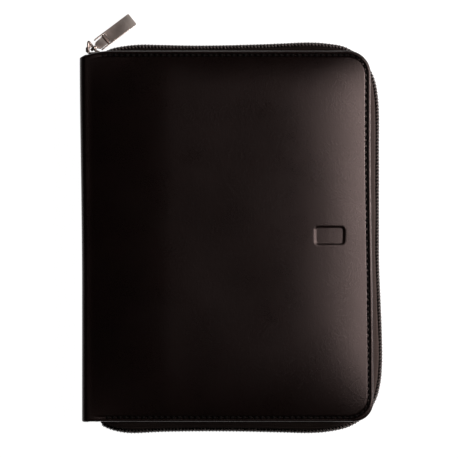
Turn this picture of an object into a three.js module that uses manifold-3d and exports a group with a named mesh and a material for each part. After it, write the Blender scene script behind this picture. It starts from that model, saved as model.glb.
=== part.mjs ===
// Zippered ring planner, closed, lying on its back cover.
// Millimetres, +Z up (through the front cover), +Y to the top edge, the spine at -X.
// Origin: the centre of the back cover's outer face.
import * as THREE from 'three';
import { mergeVertices } from 'three/addons/utils/BufferGeometryUtils.js';
import Module from 'manifold-3d';

const wasm = await Module();
wasm.setup();

// ---------------------------------------------------------------- dimensions
const MID = 19.0;              // mid height of the closed planner, where the zip runs
const GAP = 0.3;               // gap between touching pieces

// cover outline (leather edge), seen from above
const X_RIGHT = 67.1;          // fore edge
const Y_BOTTOM = -88.3;        // tail edge
const Y_TOP = 90.0;            // head edge
const Y_TOP_SPINE = 86.8;      // head edge where it meets the spine
const X_TOP_BEND = -58.0;      // where the head edge starts to drop towards the spine
const R_TOP = 11.5;            // corner radii
const R_BOTTOM = 10.0;
const LEAN = 1.2;              // the fore edge leans out towards the tail
const X_HINGE = -70.4;         // cover edge beside the spine

// layers of the back cover, heights
const BACK_LEATHER = [0, 1.2];
const BACK_BOARD = [1.5, 3.1];
const BACK_LINING = [3.4, 3.9];
const BACK_POCKET = [4.2, 4.8];
// layers of the front cover, heights
const FRONT_RIM = [36.8, 38.0];
const FRONT_BOARD = [34.9, 36.5];
const FRONT_LINING = [34.1, 34.6];
const FRONT_POCKET = [33.2, 33.8];
const CARD_SLOTS = [[32.4, 32.9], [31.6, 32.1], [30.8, 31.3]];
const DOME_HEIGHT = 3.4;       // padding above the rim
const DOME_RUN = 22.0;         // width of the padding's rounded shoulder
const RIM_WIDTH = 3.5;

// spine layers, along X
const SPINE_LEATHER = [-71.9, -70.7];
const SPINE_BOARD = [-70.4, -68.9];
const SPINE_LINING = [-68.6, -68.1];
const SPINE_Y = [-88.3, 86.3];

// ring mechanism, 19 mm rings
const RING_X = -53.6;          // ring centre
const RING_R = 10.8;           // to the middle of the wire
const WIRE_R = 1.3;
const RING_FOOT = 5.3;         // feet stand this far from the middle plane
const RING_Y = [-63.5, -44.5, -25.5, 25.5, 44.5, 63.5];
const BASE_FLOOR = -67.8;      // foot of the arched base plate
const BASE_TOP = -62.8;        // crown of the arched base plate
const BLADE = [-66.6, -65.8];
const BLADE_PIVOT = 8.4;

// refill pages
const PAGE_W = 95;
const PAGE_H = 170.4;
const PAGE_Y = -0.85;           // the refill sits a little towards the tail
const HOLE_R = RING_R + 1.3;   // hole centres lie on this radius about the ring centre
const HOLE = 3.05;             // hole radius
const HOLE_EDGE = 5.2;         // hole centre to page edge

// zip
const COIL_R = 1.2;
const ROW = 1.7;               // each coil row from the middle plane
const SLIDER = new THREE.Vector2(-65.2, 87.3);
const TRACK_END = new THREE.Vector2(24.5, 92.3);
const CHAIN_ANGLE = Math.atan2(TRACK_END.y - SLIDER.y, TRACK_END.x - SLIDER.x);
const SLIDER_L = 7.8;
const SLIDER_W = 8.4;
const PLATE = [1.5, 2.3];      // slider plates, from the middle of the channel

// pull
const EYE = new THREE.Vector3(SLIDER.x - 1.0, SLIDER.y + 4.3, MID);
const PULL_AZ = 38.6 * Math.PI / 180;    // direction seen from above
const PULL_DROOP = 38.1 * Math.PI / 180; // below the horizontal
const PULL_L = 29.5;
const PIN_AT = 9.0;            // link pin, from the eye
const TAB_W = 6.6;
const TAB_T = 1.3;
const ARM_IN = 2.55;           // inner side of the tab's arms
const ARM_END = 3.4;           // where the arms end, from the eye

// ------------------------------------------------------------------- helpers
const planner = new THREE.Group();

const MAT = {
  leather: { color: 0x1b1412, roughness: 0.42, metalness: 0 },
  board: { color: 0x8a7a66, roughness: 0.9, metalness: 0 },
  foam: { color: 0x55524e, roughness: 0.95, metalness: 0 },
  lining: { color: 0x2a2624, roughness: 0.8, metalness: 0 },
  tape: { color: 0x1f1c1a, roughness: 0.85, metalness: 0 },
  coil: { color: 0x2b2826, roughness: 0.45, metalness: 0 },
  nickel: { color: 0x8d857f, roughness: 0.35, metalness: 1 },
  paper: { color: 0xe9e4d6, roughness: 0.85, metalness: 0 },
  divider: { color: 0xc9c2b2, roughness: 0.6, metalness: 0 },
  elastic: { color: 0x1c1a19, roughness: 0.8, metalness: 0 },
};

function add(name, geometry, finish, parent = planner) {
  const mesh = new THREE.Mesh(geometry, new THREE.MeshStandardMaterial(MAT[finish]));
  mesh.name = name;
  parent.add(mesh);
  return mesh;
}

function toSolid(geometry) {
  let g = geometry.clone();
  g.deleteAttribute('normal');
  g.deleteAttribute('uv');
  g = mergeVertices(g, 1e-4);
  return new wasm.Manifold(new wasm.Mesh({
    numProp: 3,
    vertProperties: new Float32Array(g.attributes.position.array),
    triVerts: new Uint32Array(g.index.array),
  }));
}

function toGeometry(solid) {
  const mesh = solid.getMesh();
  const g = new THREE.BufferGeometry();
  const pos = new Float32Array(mesh.numVert * 3);
  for (let i = 0; i < mesh.numVert; i++) {
    for (let k = 0; k < 3; k++) pos[3 * i + k] = mesh.vertProperties[mesh.numProp * i + k];
  }
  g.setAttribute('position', new THREE.BufferAttribute(pos, 3));
  g.setIndex(new THREE.BufferAttribute(new Uint32Array(mesh.triVerts), 1));
  g.computeVertexNormals();
  return g;
}

function box(x0, x1, y0, y1, z0, z1) {
  return new THREE.BoxGeometry(x1 - x0, y1 - y0, z1 - z0)
    .translate((x0 + x1) / 2, (y0 + y1) / 2, (z0 + z1) / 2);
}

// a flat plate between two heights
function plate(shape, [z0, z1], curveSegments = 6) {
  return new THREE.ExtrudeGeometry(shape, { depth: z1 - z0, bevelEnabled: false, curveSegments })
    .translate(0, 0, z0);
}

// a profile drawn in (X, Z), carried along Y
function alongY(shape, y0, y1, curveSegments = 4) {
  return new THREE.ExtrudeGeometry(shape, { depth: y1 - y0, bevelEnabled: false, curveSegments })
    .rotateX(Math.PI / 2).translate(0, y1, 0);
}

function coverShape(inset, xl) {
  const xr = X_RIGHT - inset, yb = Y_BOTTOM + inset, yt = Y_TOP - inset;
  const rt = Math.max(R_TOP - inset, 2), rb = Math.max(R_BOTTOM - inset, 2);
  const s = new THREE.Shape();
  s.moveTo(xl, yb);
  s.lineTo(xr + LEAN - rb, yb);
  s.absarc(xr + LEAN - rb, yb + rb, rb, -Math.PI / 2, 0, false);
  s.lineTo(xr + 0.36 * LEAN, 0);
  s.lineTo(xr, Math.min(45, yt - rt - 1));
  s.lineTo(xr, yt - rt);
  s.absarc(xr - rt, yt - rt, rt, 0, Math.PI / 2, false);
  if (xl < X_TOP_BEND) {
    s.lineTo(X_TOP_BEND, yt);
    s.lineTo(xl, Math.min(yt - 0.2, Y_TOP_SPINE - inset + (xl - X_HINGE) * 0.25));
  } else {
    s.lineTo(xl, yt);
  }
  s.closePath();
  return s;
}

function roundedRect(x0, x1, y0, y1, r) {
  const s = new THREE.Shape();
  s.moveTo(x0 + r, y0);
  s.lineTo(x1 - r, y0);
  s.absarc(x1 - r, y0 + r, r, -Math.PI / 2, 0, false);
  s.lineTo(x1, y1 - r);
  s.absarc(x1 - r, y1 - r, r, 0, Math.PI / 2, false);
  s.lineTo(x0 + r, y1);
  s.absarc(x0 + r, y1 - r, r, Math.PI / 2, Math.PI, false);
  s.lineTo(x0, y0 + r);
  s.absarc(x0 + r, y0 + r, r, Math.PI, 1.5 * Math.PI, false);
  s.closePath();
  return s;
}

function polygon(points) {
  return new THREE.Shape(points.map(([x, y]) => new THREE.Vector2(x, y)));
}

function circleShape(r, n) {
  const pts = [];
  for (let i = 0; i < n; i++) {
    const a = (2 * Math.PI * i) / n;
    pts.push([r * Math.cos(a), r * Math.sin(a)]);
  }
  return polygon(pts);
}

// upper half of a padded dome: its shoulder is a quarter ellipse
function dome(run, height, floor) {
  const inset = RIM_WIDTH + DOME_RUN;
  const shape = coverShape(inset, -64 + DOME_RUN);
  const whole = new THREE.ExtrudeGeometry(shape, {
    depth: 0.02, bevelEnabled: true, bevelThickness: height - 0.02, bevelSize: run,
    bevelSegments: 4, curveSegments: 4,
  }).translate(0, 0, floor);
  return toSolid(whole).intersect(toSolid(box(-100, 100, -120, 120, floor, floor + 20)));
}

// ---------------------------------------------------------------- back cover
add('back_leather', plate(coverShape(0, X_HINGE), BACK_LEATHER), 'leather');
add('back_board', plate(coverShape(3, -68.5), BACK_BOARD), 'board');
add('back_lining', plate(coverShape(1.5, -67.5), BACK_LINING), 'lining');
add('back_pocket', plate(roundedRect(-14, 62.5, -82, 83, 17), BACK_POCKET, 4), 'lining');

// pen loop: an elastic band bent into a ring, open along Y
{
  const outer = roundedRect(55.2, 65.6, 5.1, 15.5, 4.6);
  const hole = new THREE.Path(roundedRect(55.8, 65.0, 5.7, 14.9, 4.0).getPoints(4));
  outer.holes.push(hole);
  add('pen_loop', alongY(outer, 20, 42, 4), 'elastic');
}

// --------------------------------------------------------------- front cover
{
  const skin = toSolid(plate(coverShape(0, X_HINGE), FRONT_RIM))
    .add(dome(DOME_RUN, DOME_HEIGHT, FRONT_RIM[1] - 0.01))
    .subtract(toSolid(box(-100, 100, -120, 120, 30, FRONT_RIM[0])))
    .subtract(dome(DOME_RUN - 1.2, DOME_HEIGHT, FRONT_RIM[0] - 0.01));
  add('front_leather', toGeometry(skin), 'leather');
  const foam = dome(DOME_RUN - 1.6, DOME_HEIGHT - 0.35, FRONT_RIM[0]);
  add('front_foam', toGeometry(foam), 'foam');
}
add('front_board', plate(coverShape(3, -68.5), FRONT_BOARD), 'board');
add('front_lining', plate(coverShape(1.5, -67.5), FRONT_LINING), 'lining');
add('front_pocket', plate(roundedRect(-34, 62.5, -82, 60, 17), FRONT_POCKET, 4), 'lining');
CARD_SLOTS.forEach((layer, i) => {
  add(`card_slot_${i + 1}`, plate(roundedRect(-30, 60, -56, 40 - 13 * i, 3), layer, 3), 'lining');
});

// --------------------------------------------------------------------- spine
add('spine_leather', box(...SPINE_LEATHER, ...SPINE_Y, 1.5, 36.5), 'leather');
add('spine_board', box(...SPINE_BOARD, -86.0, 84.0, 1.9, 36.1), 'board');
add('spine_lining', box(...SPINE_LINING, -86.0, 84.0, 4.5, 33.5), 'lining');

// arched base plate with a slot for each ring foot
{
  const m = MID;
  const arch = polygon([
    [BASE_FLOOR, m - 10.5], [-64.6, m - 9.7], [BASE_TOP, m - 7.2], [BASE_TOP, m + 7.2],
    [-64.6, m + 9.7], [BASE_FLOOR, m + 10.5], [BASE_FLOOR, m + 9.6], [-65.0, m + 8.95],
    [BASE_TOP - 0.8, m + 6.9], [BASE_TOP - 0.8, m - 6.9], [-65.0, m - 8.95], [BASE_FLOOR, m - 9.6],
  ]);
  let solid = toSolid(alongY(arch, -78, 78));
  for (const y of RING_Y) {
    for (const side of [-1, 1]) {
      const z0 = m + side * (RING_FOOT - WIRE_R - 0.4), z1 = m + side * (RING_FOOT + WIRE_R + 1.1);
      solid = solid.subtract(toSolid(box(-66, -60, y - 1.7, y + 1.7, Math.min(z0, z1), Math.max(z0, z1))));
    }
  }
  add('ring_base', toGeometry(solid), 'nickel');
}
// rivets that hold the base plate to the spine, in its two flat ends
[-72, 72].forEach((y, i) => {
  const rivet = new THREE.LatheGeometry([
    new THREE.Vector2(0, 0), new THREE.Vector2(2.6, 0), new THREE.Vector2(2.2, 0.7),
    new THREE.Vector2(1.0, 1.1), new THREE.Vector2(0, 1.1),
  ], 12).rotateZ(-Math.PI / 2).translate(BASE_TOP + GAP, y, MID);
  add(`base_rivet_${i + 1}`, rivet, 'nickel');
});

// carrier blades and half rings
const halfRings = { front: 1, back: -1 };
for (const [side, s] of Object.entries(halfRings)) {
  const z0 = MID + s * 0.3, z1 = MID + s * BLADE_PIVOT;
  add(`blade_${side}`, box(...BLADE, -75, 75, Math.min(z0, z1), Math.max(z0, z1)), 'nickel');
  RING_Y.forEach((y, i) => {
    const pts = [new THREE.Vector3(BLADE[1] + GAP, y, MID + s * RING_FOOT),
      new THREE.Vector3(BLADE[1] + GAP + 1.2, y, MID + s * RING_FOOT)];
    const start = Math.PI - Math.asin(RING_FOOT / RING_R);
    const n = 11;
    for (let k = 0; k <= n; k++) {
      const a = start + (0.0145 - start) * (k / n);
      pts.push(new THREE.Vector3(RING_X + RING_R * Math.cos(a), y, MID + s * RING_R * Math.sin(a)));
    }
    const path = new THREE.CatmullRomCurve3(pts, false, 'centripetal');
    const wire = new THREE.ExtrudeGeometry(circleShape(WIRE_R, 8), { steps: 13, extrudePath: path, bevelEnabled: false });
    add(`ring_${side}_${i + 1}`, wire, 'nickel');
  });
}

// opening levers at both ends of the base plate
for (const [name, s] of [['lever_top', 1], ['lever_bottom', -1]]) {
  // drawn in (X, Y); the tongue lies along the blades' ends, the tab turns up
  const profile = [[-65.6, 75.6], [-64.8, 75.6], [-64.8, 81.4], [-61.0, 82.5], [-61.0, 83.3], [-65.6, 82.2]]
    .map(([x, y]) => [x, s * y]);
  if (s < 0) profile.reverse();
  const tongue = toSolid(plate(polygon(profile), [MID - 4.2, MID + 4.2]));
  add(name, toGeometry(tongue), 'nickel');
}

// -------------------------------------------------------------------- refill
// every sheet follows the rings, so the fore and inner edges lean with the stack
function sheet(d0, d1, width, tab) {
  const n = Math.abs(d1 - d0) > 1 ? 2 : 1;
  const left = [], right = [];
  for (let k = 0; k <= n; k++) {
    const d = d0 + ((d1 - d0) * k) / n;
    const x = RING_X + Math.sqrt(HOLE_R * HOLE_R - d * d) - HOLE_EDGE;
    left.push([x, MID + d]);
    right.push([x + width, MID + d]);
  }
  let solid = toSolid(alongY(polygon([...right, ...left.reverse()]), PAGE_Y - PAGE_H / 2, PAGE_Y + PAGE_H / 2));
  if (tab) {
    const x1 = right[0][0];
    const piece = plate(roundedRect(x1 - 8, x1 + 7.5, tab[0], tab[1], 1.5), [MID + d0, MID + d1], 3);
    solid = solid.add(toSolid(piece));
  }
  const mid = (d0 + d1) / 2;
  const angle = Math.asin(mid / HOLE_R);
  for (const y of RING_Y) {
    const cutter = new THREE.CylinderGeometry(HOLE, HOLE, 8, 8).rotateX(Math.PI / 2).rotateY(-angle)
      .translate(RING_X + HOLE_R * Math.cos(angle), y, MID + mid);
    solid = solid.subtract(toSolid(cutter));
  }
  return toGeometry(solid);
}
const STACK = [
  ['pages_2', 0.2, 2.4, 'paper', PAGE_W, null],
  ['divider_2', 2.7, 3.1, 'divider', PAGE_W, [8, 38]],
  ['pages_1', 3.4, 5.6, 'paper', PAGE_W, null],
  ['divider_1', 5.9, 6.3, 'divider', PAGE_W, [44, 74]],
  ['flyleaf_front', 6.6, 7.0, 'divider', PAGE_W + 2, null],
  ['pages_3', -2.4, -0.2, 'paper', PAGE_W, null],
  ['divider_3', -3.1, -2.7, 'divider', PAGE_W, [-38, -8]],
  ['pages_4', -5.6, -3.4, 'paper', PAGE_W, null],
  ['divider_4', -6.3, -5.9, 'divider', PAGE_W, [-74, -44]],
  ['flyleaf_back', -7.0, -6.6, 'divider', PAGE_W + 2, null],
];
for (const [name, d0, d1, finish, width, tab] of STACK) add(name, sheet(d0, d1, width, tab), finish);

// ----------------------------------------------------------------------- zip
// middle line of the coil rows, from the head of the spine clockwise to its tail
function track(x0) {
  const slope = Math.tan(CHAIN_ANGLE);
  const pts = [];
  for (const x of [x0, x0 + 2, -50, -30, -10, 10, 24.5, 30]) pts.push([x, SLIDER.y + (x - SLIDER.x) * slope]);
  pts.push([38, 92.8], [46, 92.5], [54.8, 90.6], [62.6, 85.5], [67.6, 77.6], [69.7, 67], [70.0, 40],
    [70.0, 10], [70.1, -14], [70.7, -28], [71.3, -42], [71.55, -52], [71.4, -62], [70.7, -69.5],
    [68.5, -77.6], [63.8, -84.8], [56.2, -89.7], [46.5, -92.0], [38, -92.6], [24, -92.4], [4, -92.0],
    [-15, -91.9], [-34, -92.2], [-48, -92.5], [-55, -91.5], [-60, -89.7], [-62.6, -88.1]);
  return new THREE.CatmullRomCurve3(pts.map(([x, y]) => new THREE.Vector3(x, y, 0)), false, 'centripetal');
}
// section corners are [height, distance outwards] pairs
function alongTrack(corners, x0, steps) {
  const pts = corners.map(([z, out]) => new THREE.Vector2(-z, out));
  const shape = new THREE.Shape(THREE.ShapeUtils.isClockWise(pts) ? pts.reverse() : pts);
  return new THREE.ExtrudeGeometry(shape, { steps, extrudePath: track(x0), bevelEnabled: false });
}
for (const [side, s, x0] of [['front', 1, -59.5], ['back', -1, -67.2]]) {
  const row = [];
  for (let i = 0; i < 8; i++) {
    const a = (2 * Math.PI * (i + 0.5)) / 8;
    row.push([MID + s * ROW + COIL_R * Math.cos(a), COIL_R * Math.sin(a)]);
  }
  add(`${side}_coil`, alongTrack(row, x0, 66), 'coil');
  const wall = [[3.2, -0.2], [4.6, -0.2], [14.8, -4.2], [14.8, -4.9], [4.6, -0.9], [3.2, -0.9]]
    .map(([h, out]) => [MID + s * h, out]);
  add(`${side}_tape`, alongTrack(wall, x0, 66), 'tape');
}
// stop clamped past the last teeth at the tail of the spine
add('bottom_stop', plate(roundedRect(-65.8, -63.7, -88.6, -86.2, 0.6), [MID - 3.2, MID + 3.2], 2), 'nickel');

// slider body: two plates, a thin post between the rows, and a lip on each side
const slider = new THREE.Group();
slider.position.set(SLIDER.x, SLIDER.y, MID);
slider.rotation.z = CHAIN_ANGLE;
planner.add(slider);
{
  const h = SLIDER_L / 2, w = SLIDER_W / 2;
  // drawn in (X, Z): wide at the front, narrower where the closed chain comes out
  const face = polygon([[-h + 0.8, -w], [0.6, -w], [h, -w + 1.0], [h, w - 1.0], [0.6, w],
    [-h + 0.8, w], [-h, w - 1.2], [-h, -w + 1.2]]);
  let body = toSolid(alongY(face, PLATE[0], PLATE[1]))
    .add(toSolid(alongY(face, -PLATE[1], -PLATE[0])))
    .add(toSolid(box(-3.4, 0.4, -1.9, 1.9, -0.26, 0.26)));
  for (const s of [-1, 1]) {
    const z0 = s * (w - 0.7), z1 = s * w;
    body = body.add(toSolid(box(-3.0, 0.6, 0.4, 1.9, Math.min(z0, z1), Math.max(z0, z1))));
  }
  add('slider_body', toGeometry(body), 'nickel', slider);
}

// crown: an upright post and a sloping bar that the pull hangs on
{
  const u = new THREE.Vector2(Math.sin(PULL_AZ), -Math.cos(PULL_AZ));   // along the bar
  const top = new THREE.Vector2(-3.65, 0);
  top.y = 4.3 - ((-1.0 - top.x) / u.x) * u.y;
  const low = new THREE.Vector2(0.3, 0);
  low.y = 4.3 + ((low.x + 1.0) / u.x) * u.y;
  const r = 0.7;
  const bar = new THREE.ExtrudeGeometry(circleShape(r, 8), {
    steps: 1, bevelEnabled: false,
    extrudePath: new THREE.LineCurve3(new THREE.Vector3(top.x, top.y, 0), new THREE.Vector3(low.x, low.y, 0)),
  });
  const solid = toSolid(bar)
    .add(toSolid(box(-4.05, -3.25, 2.6, top.y + 0.1, -0.9, 0.9)))
    .add(toSolid(box(-4.9, -3.25, 2.6, 4.9, -1.4, 1.4)))
    .add(toSolid(plate(polygon([[-3.6, 3.9], [-2.95, 4.3], [-1.8, 5.2], [-2.2, 5.85], [-3.6, 7.3]]), [-0.45, 0.45])))
    .add(toSolid(box(-0.25, 1.3, 2.6, 3.3, -0.9, 0.9)));
  const crown = add('slider_crown', toGeometry(solid), 'nickel');
  crown.position.set(SLIDER.x, SLIDER.y, MID);
}

// pull: a link round the crown's bar, and a forked tab whose pin the link turns on.
// Both are drawn along +X from the eye, the width along Y and the thickness along Z.
const pull = new THREE.Group();
pull.position.copy(EYE);
pull.rotation.set(0, PULL_DROOP, PULL_AZ, 'ZYX');
planner.add(pull);
{
  const eye = new THREE.Shape();
  eye.absarc(0, 0, 1.8, 0, 2 * Math.PI, false);
  const bore = new THREE.Path();
  bore.absarc(0, 0, 1.06, 0, 2 * Math.PI, true);
  eye.holes.push(bore);
  // a solid tapering plate from the eye to the barrel that turns on the tab's pin
  const frame = polygon([[1.4, -0.7], [2.1, -1.25], [3.2, -1.8], [PIN_AT, -2.2], [PIN_AT, 2.2], [3.2, 1.8], [2.1, 1.25], [1.4, 0.7]]);
  const barrel = new THREE.Shape();
  barrel.absarc(PIN_AT, 0, 1.2, 0, 2 * Math.PI, false);
  let link = toSolid(alongY(eye, -0.7, 0.7, 6))
    .add(toSolid(plate(frame, [-0.5, 0.5])))
    .add(toSolid(alongY(barrel, -2.2, 2.2, 5)))
    .subtract(toSolid(new THREE.CylinderGeometry(0.87, 0.87, 8, 12).translate(PIN_AT, 0, 0)));
  // the rounding of the eye must stay open where the plate joins it
  link = link.subtract(toSolid(new THREE.CylinderGeometry(1.0, 1.0, 6, 12)));
  add('pull_link', toGeometry(link), 'nickel', pull);
}
{
  // the tab is forked: its two arms run beside the link and carry the pin
  const plateShape = roundedRect(PIN_AT + 1.6, PULL_L, -TAB_W / 2, TAB_W / 2, 0.5);
  let tab = toSolid(plate(plateShape, [-TAB_T / 2, TAB_T / 2], 3))
    .add(toSolid(new THREE.CylinderGeometry(0.55, 0.55, 5.4, 10).translate(PIN_AT, 0, 0)));
  for (const s of [-1, 1]) {
    const y0 = s * ARM_IN, y1 = s * TAB_W / 2;
    tab = tab.add(toSolid(box(ARM_END, PIN_AT + 2.6, Math.min(y0, y1), Math.max(y0, y1), -TAB_T / 2, TAB_T / 2)));
  }
  add('pull_tab', toGeometry(tab), 'nickel', pull);
}

export default planner;
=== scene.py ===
import math
import bpy
import numpy as np
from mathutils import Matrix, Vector


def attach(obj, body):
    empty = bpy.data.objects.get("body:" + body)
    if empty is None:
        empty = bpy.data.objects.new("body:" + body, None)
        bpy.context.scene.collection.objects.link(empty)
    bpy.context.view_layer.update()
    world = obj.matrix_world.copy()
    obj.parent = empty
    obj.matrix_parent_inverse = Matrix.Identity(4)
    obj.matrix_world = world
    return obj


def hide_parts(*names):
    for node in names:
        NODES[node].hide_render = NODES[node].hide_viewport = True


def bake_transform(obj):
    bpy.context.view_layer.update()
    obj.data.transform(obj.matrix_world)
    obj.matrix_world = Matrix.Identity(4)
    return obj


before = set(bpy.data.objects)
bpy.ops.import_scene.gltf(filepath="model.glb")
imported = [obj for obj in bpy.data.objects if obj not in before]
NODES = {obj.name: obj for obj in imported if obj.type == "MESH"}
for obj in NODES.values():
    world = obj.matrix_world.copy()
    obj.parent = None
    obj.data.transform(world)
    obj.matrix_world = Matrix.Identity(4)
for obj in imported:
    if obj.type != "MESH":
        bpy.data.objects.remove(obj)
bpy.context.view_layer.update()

MM = 0.001

# ------------------------------------------------------------ real sizes, mm
MID = 19.0
X_RIGHT, Y_BOTTOM, Y_TOP = 67.25, -88.3, 90.0
R_TOP, R_BOTTOM = 11.5, 9.6
LEAN = 1.25
X_BEND, Y_SPINE_TOP = -58.0, 86.8
NOSE = 0.75                    # radius of the turned leather edge
EDGE_T = 2.1                   # thickness of the turned edge
STITCH_IN = 2.20               # stitch line, in from the edge
PITCH = 2.84                   # stitch pitch
RING_X, RING_R, WIRE_R, RING_FOOT = -53.6, 10.8, 1.26, 5.3
RING_Y = [-63.5, -44.5, -25.5, 25.5, 44.5, 63.5]
SLIDER = np.array([-65.2, 87.3])
TRACK_END = np.array([24.5, 92.3])
CHAIN = math.atan2(TRACK_END[1] - SLIDER[1], TRACK_END[0] - SLIDER[0])
EYE = np.array([SLIDER[0] - 1.0, SLIDER[1] + 4.3, MID])
PULL_AZ, PULL_DROOP = math.radians(38.6), math.radians(38.1)
PIN_AT, PULL_L, TAB_W, TAB_T = 9.0, 29.5, 6.6, 1.3


# ------------------------------------------------------------------- camera
scene = bpy.context.scene
scene.view_settings.view_transform = "Standard"
scene.view_settings.look = "None"
cam_data = bpy.data.cameras.new("camera")
cam = bpy.data.objects.new("camera", cam_data)
scene.collection.objects.link(cam)
scene.camera = cam
CAM_D = 3.2
cam.location = (-0.00096, 0.00433, 0.030 + CAM_D)
cam.rotation_euler = (0, 0, 0)
cam_data.sensor_fit = "HORIZONTAL"
cam_data.sensor_width = 36.0
cam_data.lens = 36.0 * CAM_D / 0.2203
cam_data.clip_end = 20


# ------------------------------------------------------------------- helpers
def smooth(t):
    t = np.clip(t, 0, 1)
    return t * t * (3 - 2 * t)


def mesh_obj(name, verts, faces, mat, smooth_shade=True, auto=None):
    me = bpy.data.meshes.new(name)
    me.from_pydata((np.asarray(verts, float) * MM).tolist(), [], [tuple(int(i) for i in f) for f in faces])
    me.validate()
    me.update()
    if smooth_shade:
        me.polygons.foreach_set("use_smooth", [True] * len(me.polygons))
    ob = bpy.data.objects.new(name, me)
    scene.collection.objects.link(ob)
    if isinstance(mat, (list, tuple)):
        for m in mat:
            me.materials.append(m)
    else:
        me.materials.append(mat)
    if auto is not None:
        try:
            me.set_sharp_from_angle(angle=math.radians(auto))
        except Exception:
            pass
    return ob


def grid_faces(nr, nc, base=0, flip=False, closed_cols=False):
    out = []
    cmax = nc if closed_cols else nc - 1
    for i in range(nr - 1):
        for j in range(cmax):
            a = base + i * nc + j
            b = base + i * nc + (j + 1) % nc
            c = base + (i + 1) * nc + (j + 1) % nc
            d = base + (i + 1) * nc + j
            out.append((a, d, c, b) if flip else (a, b, c, d))
    return out


def resample(points, step=None, n=None):
    p = np.asarray(points, float)
    seg = np.linalg.norm(np.diff(p, axis=0), axis=1)
    s = np.concatenate([[0], np.cumsum(seg)])
    if n is None:
        n = max(2, int(round(s[-1] / step)) + 1)
    t = np.linspace(0, s[-1], n)
    return np.stack([np.interp(t, s, p[:, k]) for k in range(p.shape[1])], 1), t


def catmull(points, per=12):
    """A smooth curve through the points (centripetal)."""
    p = np.asarray(points, float)
    p = np.vstack([2 * p[0] - p[1], p, 2 * p[-1] - p[-2]])
    out = []
    for i in range(1, len(p) - 2):
        p0, p1, p2, p3 = p[i - 1:i + 3]
        t0 = 0.0
        t1 = t0 + np.linalg.norm(p1 - p0) ** 0.5
        t2 = t1 + np.linalg.norm(p2 - p1) ** 0.5
        t3 = t2 + np.linalg.norm(p3 - p2) ** 0.5
        for t in np.linspace(t1, t2, per, endpoint=False):
            a1 = (t1 - t) / (t1 - t0) * p0 + (t - t0) / (t1 - t0) * p1
            a2 = (t2 - t) / (t2 - t1) * p1 + (t - t1) / (t2 - t1) * p2
            a3 = (t3 - t) / (t3 - t2) * p2 + (t - t2) / (t3 - t2) * p3
            b1 = (t2 - t) / (t2 - t0) * a1 + (t - t0) / (t2 - t0) * a2
            b2 = (t3 - t) / (t3 - t1) * a2 + (t - t1) / (t3 - t1) * a3
            out.append((t2 - t) / (t2 - t1) * b1 + (t - t1) / (t2 - t1) * b2)
    out.append(p[-2])
    return np.array(out)


def frames(path, up=(0, 0, 1)):
    """Tangent and two normals along a path, by carrying the first normal along."""
    p = np.asarray(path, float)
    t = np.gradient(p, axis=0)
    t /= np.linalg.norm(t, axis=1)[:, None] + 1e-12
    u = np.asarray(up, float)
    if abs(u @ t[0]) > 0.9:
        u = np.array([1.0, 0, 0])
    n = u - (u @ t[0]) * t[0]
    n /= np.linalg.norm(n)
    ns = [n]
    for i in range(1, len(p)):
        n = ns[-1] - (ns[-1] @ t[i]) * t[i]
        n /= np.linalg.norm(n) + 1e-12
        ns.append(n)
    ns = np.array(ns)
    return t, ns, np.cross(t, ns)


def tube(path, section, up=(0, 0, 1), scale=None, closed=False):
    """Sweeps a closed section [(a, b), ...] along a path. Returns vertices and faces with capped ends."""
    p = np.asarray(path, float)
    sec = np.asarray(section, float)
    t, n, b = frames(p, up)
    k = np.ones(len(p)) if scale is None else np.asarray(scale, float)
    v = p[:, None, :] + k[:, None, None] * (sec[None, :, 0:1] * n[:, None, :] + sec[None, :, 1:2] * b[:, None, :])
    m = len(sec)
    verts = v.reshape(-1, 3)
    faces = grid_faces(len(p), m, 0, flip=True, closed_cols=True)
    if not closed:
        c0, c1 = len(verts), len(verts) + 1
        verts = np.vstack([verts, p[0], p[-1]])
        last = (len(p) - 1) * m
        for j in range(m):
            j2 = (j + 1) % m
            faces.append((c0, j, j2)[::1])
            faces.append((c1, last + j2, last + j))
    else:
        last = (len(p) - 1) * m
        for j in range(m):
            j2 = (j + 1) % m
            faces.append((last + j, j, j2, last + j2))
    return verts, faces


def circle(r, n=12, ry=None):
    a = np.linspace(0, 2 * np.pi, n, endpoint=False)
    return np.stack([r * np.cos(a), (ry or r) * np.sin(a)], 1)


def join(parts):
    vs, fs, base = [], [], 0
    for v, f in parts:
        vs.append(np.asarray(v, float))
        fs += [tuple(i + base for i in q) for q in f]
        base += len(v)
    return np.vstack(vs), fs


def fix_normals(ob):
    import bmesh
    bm = bmesh.new()
    bm.from_mesh(ob.data)
    bmesh.ops.recalc_face_normals(bm, faces=bm.faces)
    bm.to_mesh(ob.data)
    bm.free()
    return ob


def bake_modifiers(ob):
    """Applies the modifiers of a piece into its mesh."""
    deps = bpy.context.evaluated_depsgraph_get()
    me = bpy.data.meshes.new_from_object(ob.evaluated_get(deps))
    old = ob.data
    ob.modifiers.clear()
    ob.data = me
    bpy.data.meshes.remove(old)
    return ob


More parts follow.
